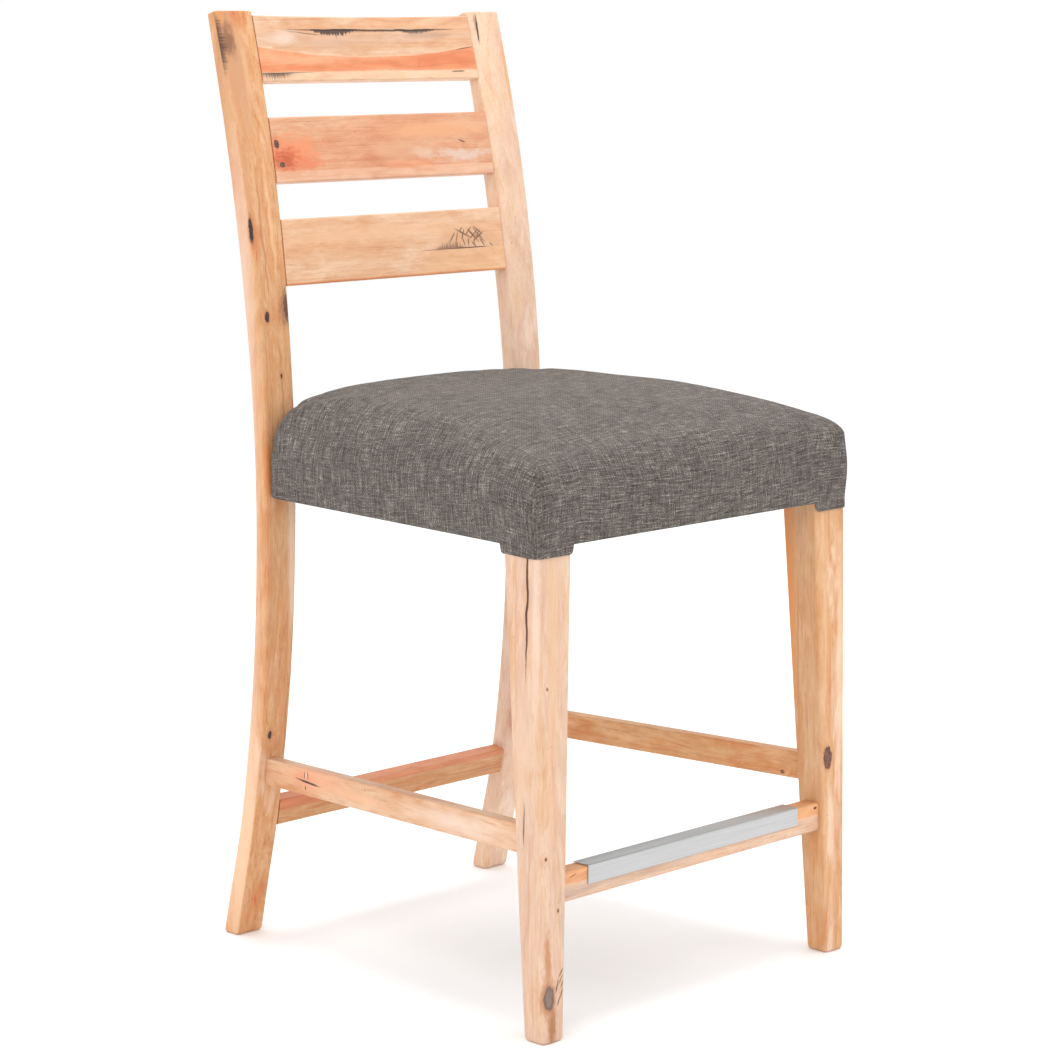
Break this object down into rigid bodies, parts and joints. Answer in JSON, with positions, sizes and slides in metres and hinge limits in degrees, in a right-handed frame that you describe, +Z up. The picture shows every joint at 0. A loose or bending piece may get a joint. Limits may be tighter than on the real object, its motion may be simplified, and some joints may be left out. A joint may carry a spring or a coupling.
{
  "type": "bar stool",
  "caption": "Counter-height bar stool with a ladder back, fixed upholstered seat, slim tapered legs, stretchers all round and a metal-capped front footrest.",
  "frame": {"origin": "on the floor, under the middle of the whole box of the stool", "axes": "+Z up, the stool faces -Y, +X is to its left when seated in it"},
  "size_m": [0.4912, 0.551, 1.0497],
  "materials": {
    "timber": "natural hardwood, clear satin lacquer, gum veins and knots left in",
    "frame_timber": "plain sawn timber, unfinished, hidden inside the seat",
    "plywood": "plywood sheet, unfinished",
    "foam": "open-cell upholstery foam",
    "upholstery": "coarse linen-look weave in mixed warm greys, matt",
    "dust_cloth": "black non-woven lining, matt",
    "cap_metal": "satin metal angle, fine lengthways brushing",
    "screw_steel": "yellow zinc-plated countersunk screws"
  },
  "bodies": {
    "root": {"front_leg_right": "timber", "front_leg_left": "timber", "rear_post_right": "timber", "rear_post_left": "timber", "back_rail_lower": "timber", "back_rail_middle": "timber", "back_rail_top": "timber", "side_stretcher_right": "timber", "side_stretcher_left": "timber", "rear_stretcher": "timber", "footrest_stretcher": "timber", "seat_rail_front": "frame_timber", "seat_rail_rear": "frame_timber", "seat_rail_side_right": "frame_timber", "seat_rail_side_left": "frame_timber", "corner_block_front_right": "frame_timber", "corner_block_front_left": "frame_timber", "corner_block_rear_right": "frame_timber", "corner_block_rear_left": "frame_timber", "seat_board": "plywood", "seat_foam": "foam", "seat_cover": "upholstery", "dust_cloth": "dust_cloth", "footrest_cap": "cap_metal", "screw_front_block_to_front_rail_right": "screw_steel", "screw_front_block_to_front_rail_left": "screw_steel", "screw_front_block_to_side_rail_right": "screw_steel", "screw_front_block_to_side_rail_left": "screw_steel", "screw_rear_block_to_rear_rail_right": "screw_steel", "screw_rear_block_to_rear_rail_left": "screw_steel", "screw_rear_block_to_side_rail_right": "screw_steel", "screw_rear_block_to_side_rail_left": "screw_steel", "screw_board_to_front_block_right": "screw_steel", "screw_board_to_front_block_left": "screw_steel", "screw_board_to_rear_block_right": "screw_steel", "screw_board_to_rear_block_left": "screw_steel"}
  },
  "joints": []
}
